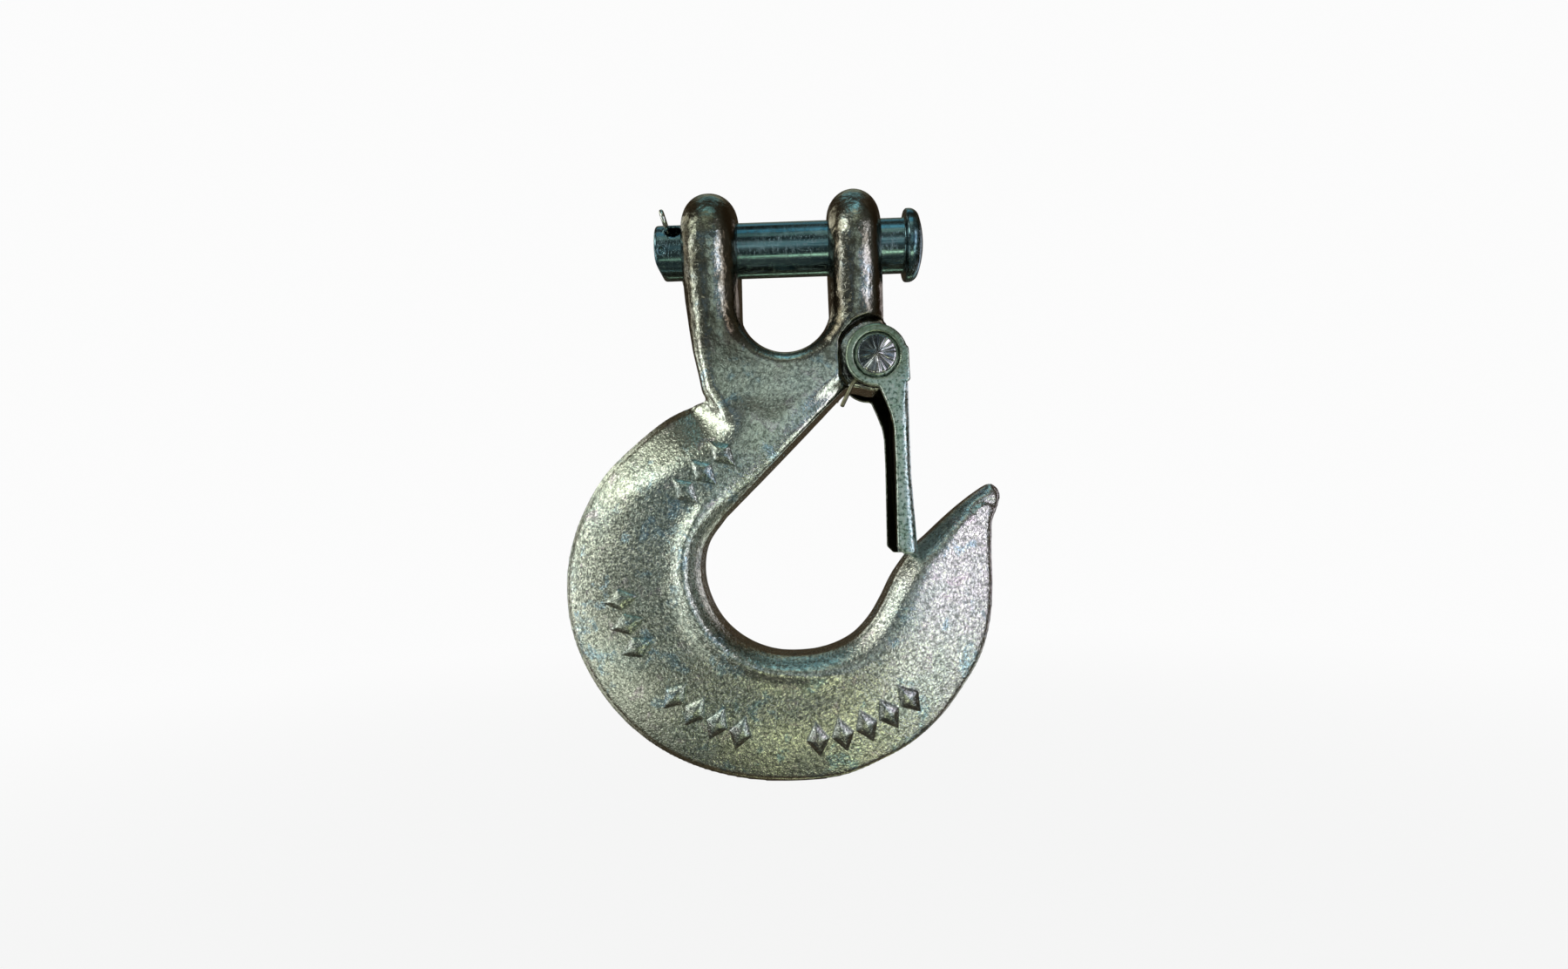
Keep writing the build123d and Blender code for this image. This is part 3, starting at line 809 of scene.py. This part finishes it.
def make_spring_bridge():
    """The wire that joins the coils, inside the latch's channel, and pushes the latch shut."""
    coil_x = RIVET_X + COIL_RADIUS
    side = [
        (coil_x, COIL_INNER, RIVET_Z), (coil_x, COIL_INNER, RIVET_Z - 4.0),
        (25.6, COIL_INNER, -35.0), (26.0, COIL_INNER, -39.0), (26.1, COIL_INNER - 0.5, -40.8),
        (26.1, COIL_INNER - 1.6, -41.4), (26.1, 0.0, -41.5),
    ]
    other = [(x, -y, z) for x, y, z in side[-2::-1]]
    return tube("spring_bridge", side + other, SPRING_WIRE, 10)


# ---------------------------------------------------------------- stage, light and camera
# Brightness of what the camera sees behind the hook
PALE = 0.97
# Soft lights round the hook: middle, half size, colour. The world drops the sign of Y, so that
# each stands both before the hook and behind it. The front glow stands only before it.
LIGHTS = [
    ((-0.82, 0.46, 0.52), (0.24, 0.32, 0.24), (2.4, 2.5, 2.15)),
    ((-0.95, 0.31, -0.05), (0.09, 0.13, 0.45), (3.4, 3.5, 3.3)),
    ((-0.62, 0.64, 0.44), (0.17, 0.20, 0.14), (2.4, 2.5, 2.2)),
    ((-0.68, 0.60, -0.42), (0.25, 0.30, 0.24), (1.1, 1.15, 1.0)),
    ((-0.42, 0.88, 0.12), (0.10, 0.12, 0.24), (0.02, 0.08, 0.16)),
    ((0.69, 0.71, 0.08), (0.18, 0.24, 0.42), (2.3, 2.2, 2.4)),
    ((0.55, 0.72, -0.42), (0.20, 0.22, 0.20), (1.9, 2.1, 1.9)),
    ((0.38, 0.92, 0.05), (0.10, 0.12, 0.24), (0.10, 0.24, 0.42)),
    ((0.00, 0.40, 0.92), (0.45, 0.22, 0.10), (0.30, 0.70, 0.80)),
    ((0.22, 0.72, -0.68), (0.45, 0.09, 0.07), (2.8, 3.0, 1.8)),
    ((0.00, 0.62, 0.72), (0.35, 0.18, 0.14), (0.50, 0.56, 0.42)),
]
FRONT_GLOW = ((0.08, -1.0, 0.08), (0.27, 0.30, 0.27), (0.42, 0.52, 0.48))
# The floor's half size in metres, and how far it lies below the hook in mm
FLOOR_HALF = 3.0
FLOOR_DROP = 70.0
# The camera's place in metres, its roll, its lens in mm, and the lens's shift in picture widths
CAMERA_PLACE = (0.0028, -0.185, -0.0693)
CAMERA_ROLL = math.radians(2)
LENS = 17.6
LENS_SHIFT = (-0.0122222, 0.0333333)


def make_stage():
    """A pale floor far below the hanging hook that fades into the pale surroundings."""
    mesh = bpy.data.meshes.new("floor")
    level = (HOOK_LOW[2] - FLOOR_DROP) * MM
    corners = [(x * FLOOR_HALF, y * FLOOR_HALF, level) for x, y in ((-1, -1), (1, -1), (1, 1), (-1, 1))]
    mesh.from_pydata(corners, [], [(0, 1, 2, 3)])
    floor = link("floor", mesh)
    material, nodes = start_material("pale floor")
    lit = nodes.add("ShaderNodeBsdfDiffuse", {"Color": colour(0.9, 0.9, 0.9)})
    glow = nodes.add("ShaderNodeEmission", {"Color": colour(1, 1, 1), "Strength": PALE})
    far = nodes.vector("LENGTH", nodes.places(), (0, 0, 0), 1)
    share = nodes.step(far, 0.2, 0.9, 0.92, 1.0)
    mixed = nodes.add("ShaderNodeMixShader", {0: share, 1: lit.outputs[0], 2: glow.outputs[0]})
    nodes.add("ShaderNodeOutputMaterial", {"Surface": mixed.outputs[0]})
    mesh.materials.append(material)
    floor.visible_glossy = False


def make_world():
    """Pale for the camera. For the metal, a brown room with soft lights before and behind."""
    world = bpy.data.worlds.new("studio")
    bpy.context.scene.world = world
    world.use_nodes = True
    nodes = Nodes(world.node_tree)
    way = nodes.add("ShaderNodeTexCoord").outputs["Generated"]
    parts = nodes.add("ShaderNodeSeparateXYZ", {0: way})
    depth = nodes.math("ABSOLUTE", parts.outputs["Y"])
    folded = nodes.add(
        "ShaderNodeCombineXYZ", {"X": parts.outputs["X"], "Y": depth, "Z": parts.outputs["Z"]}
    ).outputs[0]
    front = nodes.step(parts.outputs["Y"], 0.1, -0.3)
    behind = nodes.step(parts.outputs["Y"], 0.9, 0.7)
    reach = nodes.math("MULTIPLY", behind, nodes.step(front, 0.0, 1.0, 0.6, 1.0))
    total = nodes.mix(front, colour(0.055, 0.040, 0.024), colour(0.085, 0.088, 0.075))
    lobes = [(folded, lobe) for lobe in LIGHTS] + [(way, FRONT_GLOW)]
    for where, (middle, half, light) in lobes:
        away = nodes.vector("DIVIDE", nodes.vector("SUBTRACT", where, middle), half)
        inside = nodes.step(nodes.vector("LENGTH", away, (0, 0, 0), 1), 1.25, 0.4)
        total = nodes.mix(nodes.math("MULTIPLY", inside, reach), total, colour(*light), "ADD")
    lit = nodes.add("ShaderNodeBackground", {"Color": total, "Strength": 1.0})
    pale = nodes.add("ShaderNodeBackground", {"Color": colour(1, 1, 1), "Strength": PALE})
    seen = nodes.add("ShaderNodeLightPath").outputs["Is Camera Ray"]
    mixed = nodes.add("ShaderNodeMixShader", {0: seen, 1: lit.outputs[0], 2: pale.outputs[0]})
    nodes.add("ShaderNodeOutputWorld", {"Surface": mixed.outputs[0]})


def make_camera():
    """The camera at the picture's place: close, a little right of and level with the bowl."""
    data = bpy.data.cameras.new("camera")
    data.sensor_width = 36.0
    data.lens = LENS
    data.shift_x, data.shift_y = LENS_SHIFT
    data.clip_start = 0.01
    camera = bpy.data.objects.new("camera", data)
    bpy.context.scene.collection.objects.link(camera)
    camera.location = CAMERA_PLACE
    camera.rotation_euler = (math.radians(90), CAMERA_ROLL, 0)
    bpy.context.scene.camera = camera


# ---------------------------------------------------------------- put it together
FORGING = forging_material("chromated forging", 0.0)
# The raised marks carry painted shade: their colour is darkened towards blue-grey
MARKED = forging_material("marks with painted shade", 0.3)
PIN_STEEL = streaked_material(
    "teal pin steel", colour(0.22, 0.36, 0.42), colour(0.08, 0.16, 0.20), 0.12, (0.04, 1.0, 1.0)
)
OLIVE = latch_material()
RIVET_STEEL = rivet_material()
BRIGHT_WIRE = wire_material("bright wire", colour(0.80, 0.84, 0.80), colour(0.60, 0.66, 0.62), 0.16)
DARK_WIRE = wire_material("spring wire", colour(0.40, 0.38, 0.26), colour(0.22, 0.20, 0.13), 0.3)

SHAPE = Forging()
finish_piece(make_hook_body(SHAPE), "hook_body", "hook", FORGING)
finish_piece(make_marks(SHAPE), "hook_body", "hook", MARKED)
finish_piece(make_pin(), "clevis_pin", "pin", PIN_STEEL)
finish_piece(make_cotter(), "cotter_pin", "pin", BRIGHT_WIRE)
finish_piece(make_latch(), "safety_latch", "latch", OLIVE)
finish_piece(make_rivet(), "latch_rivet", "hook", RIVET_STEEL)
for coil in make_spring_legs():
    finish_piece(coil, "latch_spring", "hook", DARK_WIRE)
finish_piece(make_spring_bridge(), "latch_spring", "latch", DARK_WIRE)

make_stage()
make_world()
make_camera()
bpy.context.scene.view_settings.view_transform = "Standard"
